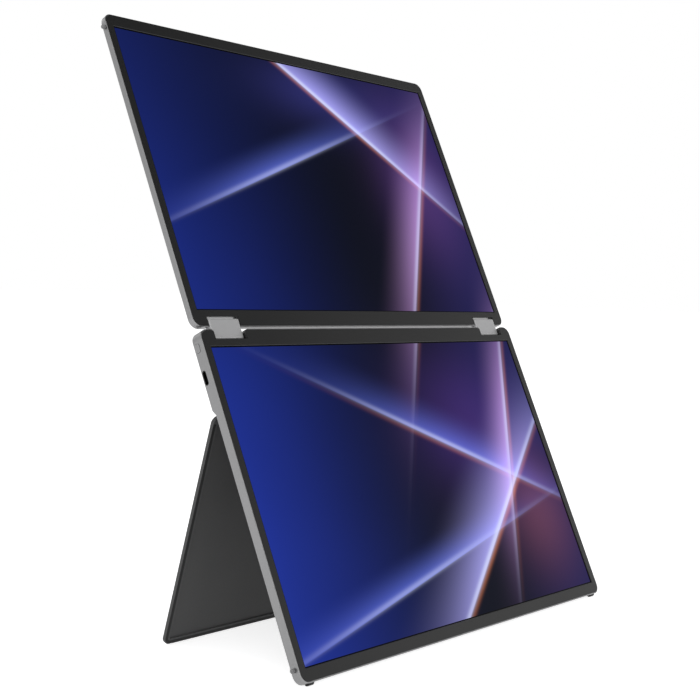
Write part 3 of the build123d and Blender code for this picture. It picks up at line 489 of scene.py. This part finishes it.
# Pieces with more detail than their solids, and dark strips and sheets that paint shade
def add_piece(name, shape, body, slot, node=None):
    """Turns a shape into a piece that rides on a body, has a slot's finish and may stand for a node."""
    bmesh.ops.recalc_face_normals(shape, faces=shape.faces)
    mesh = bpy.data.meshes.new(name)
    shape.to_mesh(mesh)
    shape.free()
    mesh.materials.append(materials[slot])
    piece = bpy.data.objects.new(name, mesh)
    bpy.context.scene.collection.objects.link(piece)
    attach(piece, body)
    if node:
        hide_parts(node)


def add_loop(shape, points, seat, out):
    """Adds points, each given across, up and out in millimetres, on a seat that faces out."""
    up = out.cross(across)
    return [shape.verts.new(seat + (across * x + up * y + out * z) * MM) for x, y, z in points]


def ring(radius, height, count):
    angles = [2 * pi * i / count for i in range(count)]
    return [(radius * cos(angle), radius * sin(angle), height) for angle in angles]


def bridge(shape, first, second):
    """Joins two loops of as many points by a band of faces."""
    for i in range(len(first)):
        j = (i + 1) % len(first)
        shape.faces.new((first[i], first[j], second[j], second[i]))


def fill_between(shape, outer, inner):
    """Fills the flat between a loop and a hole in it."""
    pairs = list(zip(outer, outer[1:] + outer[:1])) + list(zip(inner, inner[1:] + inner[:1]))
    edges = [shape.edges.get(pair) or shape.edges.new(pair) for pair in pairs]
    bmesh.ops.triangle_fill(shape, edges=edges, use_beauty=True)


def cross_outline(reach, half_width, height):
    """Outline of a cross recess, arm by arm."""
    arm = [(reach, -half_width), (reach, half_width), (half_width, half_width)]
    outline = []
    for turn in range(4):
        outline += [(x, y, height) for x, y in arm]
        arm = [(-y, x) for x, y in arm]
    return outline


def screw_seats(node, out):
    """Middle of each screw's head, from the screws' solids and the way that their heads face."""
    up = out.cross(across)
    groups = []
    for vertex in frame["nodes"][node].data.vertices:
        place = Vector((vertex.co.dot(across), vertex.co.dot(up), vertex.co.dot(out)))
        near = [group for group in groups if (group[0] - place).xy.length < screw_spacing * MM]
        if near:
            near[0].append(place)
        else:
            groups.append([place])
    seats = []
    for group in groups:
        low = [min(place[k] for place in group) for k in range(3)]
        high = [max(place[k] for place in group) for k in range(3)]
        middle = across * (low[0] + high[0]) / 2 + up * (low[1] + high[1]) / 2 + out * high[2]
        seats.append((middle, (high[2] - low[2]) / MM))
    return seats


def add_screws(name, node, out, body):
    """Countersunk screws with cross recesses, in the places of a node's solids."""
    shape = bmesh.new()
    for seat, length in screw_seats(node, out):
        rim = add_loop(shape, ring(screw_head_radius - screw_edge, 0, screw_segments), seat, out)
        cross = add_loop(shape, cross_outline(recess_reach, recess_half_width, 0), seat, out)
        fill_between(shape, rim, cross)
        floor_reach = recess_reach * recess_taper
        floor = add_loop(shape, cross_outline(floor_reach, recess_half_width, -recess_depth), seat, out)
        bridge(shape, cross, floor)
        shape.faces.new(floor)
        rings = (
            (screw_head_radius, -screw_edge),
            (screw_shank_radius, -screw_cone),
            (screw_shank_radius, -length),
        )
        last = rim
        for radius, height in rings:
            loop = add_loop(shape, ring(radius, height, screw_segments), seat, out)
            bridge(shape, last, loop)
            last = loop
        shape.faces.new(last)
    add_piece(name, shape, body, "screw_steel", node)


def thread_ring(depth):
    """Ring of the thread's flanks at a depth in the socket."""
    points = []
    for i in range(thread_segments):
        turn = i / thread_segments
        wave = abs(2 * ((depth / thread_pitch + turn) % 1) - 1)
        radius = thread_inner_radius + (thread_outer_radius - thread_inner_radius) * wave
        points.append((radius * cos(2 * pi * turn), radius * sin(2 * pi * turn), -depth))
    return points


def add_tripod_insert():
    """Turned insert with its thread cut in."""
    shape = bmesh.new()
    seat = Vector(mounts["tripod_socket"]["pos_m"])
    rows = round(thread_length / thread_pitch * thread_rows_per_turn)
    outside = (
        (insert_radius, -insert_length),
        (insert_radius, -insert_edge),
        (insert_radius - insert_edge, 0),
    )
    loops = [ring(radius, height, thread_segments) for radius, height in outside]
    loops.append(ring(thread_start_radius, 0, thread_segments))
    step = (thread_length - insert_edge) / rows
    loops += [thread_ring(insert_edge + step * row) for row in range(rows + 1)]
    last = None
    for points in loops:
        loop = add_loop(shape, points, seat, rear)
        if last:
            bridge(shape, last, loop)
        else:
            shape.faces.new(loop)
        last = loop
    shape.faces.new(last)
    add_piece("tripod_insert_threaded", shape, "lower_half", "insert_brass", "tripod_insert")


def add_contacts(node, count, pitch):
    """Rows of contacts on both faces of a receptacle's tongue."""
    low, high = (Vector(corner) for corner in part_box(node))
    middle = (low + high) / 2
    outer = max(abs(low.x), abs(high.x))
    side = 1 if middle.x > 0 else -1
    centre = Vector((side * (outer - (contact_tip + contact_length / 2) * MM), middle.y, middle.z))
    size = Vector((contact_length, contact_width, tongue_thickness + 2 * contact_proud)) * MM
    turn = Matrix((across, up_screen, rear)).transposed().to_4x4()
    shape = bmesh.new()
    for i in range(count):
        place = centre + up_screen * (i - (count - 1) / 2) * pitch * MM
        box = Matrix.Translation(place) @ turn @ Matrix.Diagonal(size).to_4x4()
        bmesh.ops.create_cube(shape, size=1.0, matrix=box)
    add_piece(f"{node}_contacts", shape, "lower_half", "insert_brass")


def add_shade_sheets(body):
    """Black sheets on the side walls of a half's notches, painting the shade in them."""
    joint, below, above, front, back = shade_sheet_reach[body]
    axis = Vector(joints[joint]["pos_m"])
    corners = [(-below, -front), (above, -front), (above, back), (-below, back)]
    hole = [(y, z) for y, z, height in ring(shade_sheet_hole_radius, 0, shade_sheet_segments)]
    shape = bmesh.new()
    for side in ("left", "right"):
        boxes = [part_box(f"{side}_hinge_{piece}") for piece in ("block", "cap")]
        low = min(box[0][0] for box in boxes) / MM - shade_sheet_wall_gap
        high = max(box[1][0] for box in boxes) / MM + shade_sheet_wall_gap
        for wall, face in ((low, low + shade_sheet_thickness), (high, high - shade_sheet_thickness)):
            loops = {}
            for x in (wall, face):
                for points in (corners, hole):
                    places = [axis + (across * x + up_screen * y + rear * z) * MM for y, z in points]
                    loops[x, len(points)] = [shape.verts.new(place) for place in places]
                fill_between(shape, loops[x, len(corners)], loops[x, len(hole)])
            bridge(shape, loops[wall, len(corners)], loops[face, len(corners)])
            bridge(shape, loops[wall, len(hole)], loops[face, len(hole)])
    add_piece(f"{body}_notch_shade_sheets", shape, body, "bezel_black")


def add_shade_strip():
    """Thin dark strip of painted shade on the kickstand's rim, from one hinge corner round the tip to the
    other.
    """
    up = kick_front.cross(across)
    places = [vertex.co for vertex in frame["nodes"]["kickstand_plate"].data.vertices]
    heights = [place.dot(up) for place in places]
    half = max(place.dot(across) for place in places) / MM
    reach = (max(heights) - min(heights)) / MM
    seat = up * min(heights) + kick_front * max(place.dot(kick_front) for place in places)
    outer = shade_strip_corner - shade_strip_inset
    inner = outer - shade_strip_width
    section = [(outer, 0), (outer, shade_strip_thickness), (inner, shade_strip_thickness), (inner, 0)]
    turns = [pi / 2 * i / shade_strip_corner_steps for i in range(shade_strip_corner_steps + 1)]
    path = [(reach - shade_strip_corner, pi)] + [(shade_strip_corner, pi + turn) for turn in turns]
    path += [(shade_strip_corner, pi * 3 / 2 + turn) for turn in turns] + [(reach - shade_strip_corner, 2 * pi)]
    shape = bmesh.new()
    loops = []
    for i, (y, angle) in enumerate(path):
        x = half - shade_strip_corner if i >= len(path) / 2 else shade_strip_corner - half
        points = [(x + r * cos(angle), y + r * sin(angle), z) for r, z in section]
        loops.append(add_loop(shape, points, seat, kick_front))
    for first, second in zip(loops, loops[1:]):
        bridge(shape, first, second)
    shape.faces.new(loops[0])
    shape.faces.new(loops[-1])
    add_piece("kickstand_shade_strip", shape, "kickstand", "foot_rubber")


add_screws("rear_cover_cross_screws", "rear_cover_screws", rear, "lower_half")
add_screws("kickstand_cross_screws", "kickstand_arm_screws", kick_front, "kickstand")
add_tripod_insert()
# A thin dark strip that paints the shade inside the kickstand's rim
add_shade_strip()
for node, (count, pitch) in contact_rows.items():
    add_contacts(node, count, pitch)
# Black sheets that paint the shade on the notch walls
for body in shade_sheet_reach:
    add_shade_sheets(body)


# Floor, sky, lamps and camera
def seen_directly(tree):
    """1 for rays that show a surface or the sky as it is, and 0 for those that only light the object."""
    path = tree.nodes.new("ShaderNodeLightPath")
    shown = path.outputs["Is Camera Ray"]
    for name in ("Is Glossy Ray", "Is Transmission Ray"):
        larger = tree.nodes.new("ShaderNodeMath")
        larger.operation = "MAXIMUM"
        tree.links.new(shown, larger.inputs[0])
        tree.links.new(path.outputs[name], larger.inputs[1])
        shown = larger.outputs[0]
    return shown


def make_floor():
    """Pale floor with a faint mottle. It glows a little where it is seen, so that it reads as white."""
    bpy.ops.mesh.primitive_plane_add(size=floor_size)
    floor = bpy.context.object
    floor.name = "floor"
    g = Graph("floor")
    g.set(Base_Color=g.mix(g.grain(0.4, 0.0, 1.0), grey(0.79), grey(0.81)), Roughness=0.9)
    g.set(Specular_IOR_Level=0.0, Emission_Color=(1, 1, 1, 1))
    g.set(Emission_Strength=g.math("MULTIPLY", seen_directly(g.tree), floor_glow))
    floor.data.materials.append(g.material)


def map_range(tree, value, low, high, out_low, out_high):
    """Node that maps low..high to out_low..out_high, clamped. Its inputs may be numbers or outputs."""
    node = tree.nodes.new("ShaderNodeMapRange")
    for socket, number in zip(node.inputs, (value, low, high, out_low, out_high)):
        if isinstance(number, bpy.types.NodeSocket):
            tree.links.new(number, socket)
        else:
            socket.default_value = number
    return node.outputs[0]


def make_sky():
    """White surroundings under a dimmer ceiling, and one soft level for the light that they give."""
    world = bpy.data.worlds.new("sky")
    world.use_nodes = True
    bpy.context.scene.world = world
    tree = world.node_tree
    background = tree.nodes["Background"]
    background.inputs["Color"].default_value = (1, 1, 1, 1)
    split = tree.nodes.new("ShaderNodeSeparateXYZ")
    tree.links.new(tree.nodes.new("ShaderNodeTexCoord").outputs["Generated"], split.inputs[0])
    shown = map_range(tree, split.outputs["Z"], ceiling_start, ceiling_full, 1.0, ceiling_glow)
    strength = map_range(tree, seen_directly(tree), 0.0, 1.0, sky_for_diffuse, shown)
    tree.links.new(strength, background.inputs["Strength"])


def add_lamp(name, place, size, power):
    """Square soft box that faces the object."""
    light = bpy.data.lights.new(name, "AREA")
    light.size = size
    light.energy = power
    lamp = bpy.data.objects.new(name, light)
    lamp.location = place
    lamp.rotation_euler = (Vector(light_target) - Vector(place)).to_track_quat("-Z", "Y").to_euler()
    bpy.context.scene.collection.objects.link(lamp)


def add_camera():
    camera = bpy.data.cameras.new("camera")
    camera.lens = camera_lens
    camera.shift_x, camera.shift_y = camera_shift
    camera.clip_start = 0.01
    right = camera_look.cross(camera_up).normalized()
    up = right.cross(camera_look).normalized()
    turn = Matrix((right, up, -camera_look.normalized())).transposed()
    holder = bpy.data.objects.new("camera", camera)
    holder.matrix_world = Matrix.Translation(camera_place) @ turn.to_4x4()
    bpy.context.scene.collection.objects.link(holder)
    bpy.context.scene.camera = holder


make_floor()
make_sky()
for lamp in lamps:
    add_lamp(*lamp)
add_camera()
bpy.context.scene.view_settings.view_transform = "Standard"
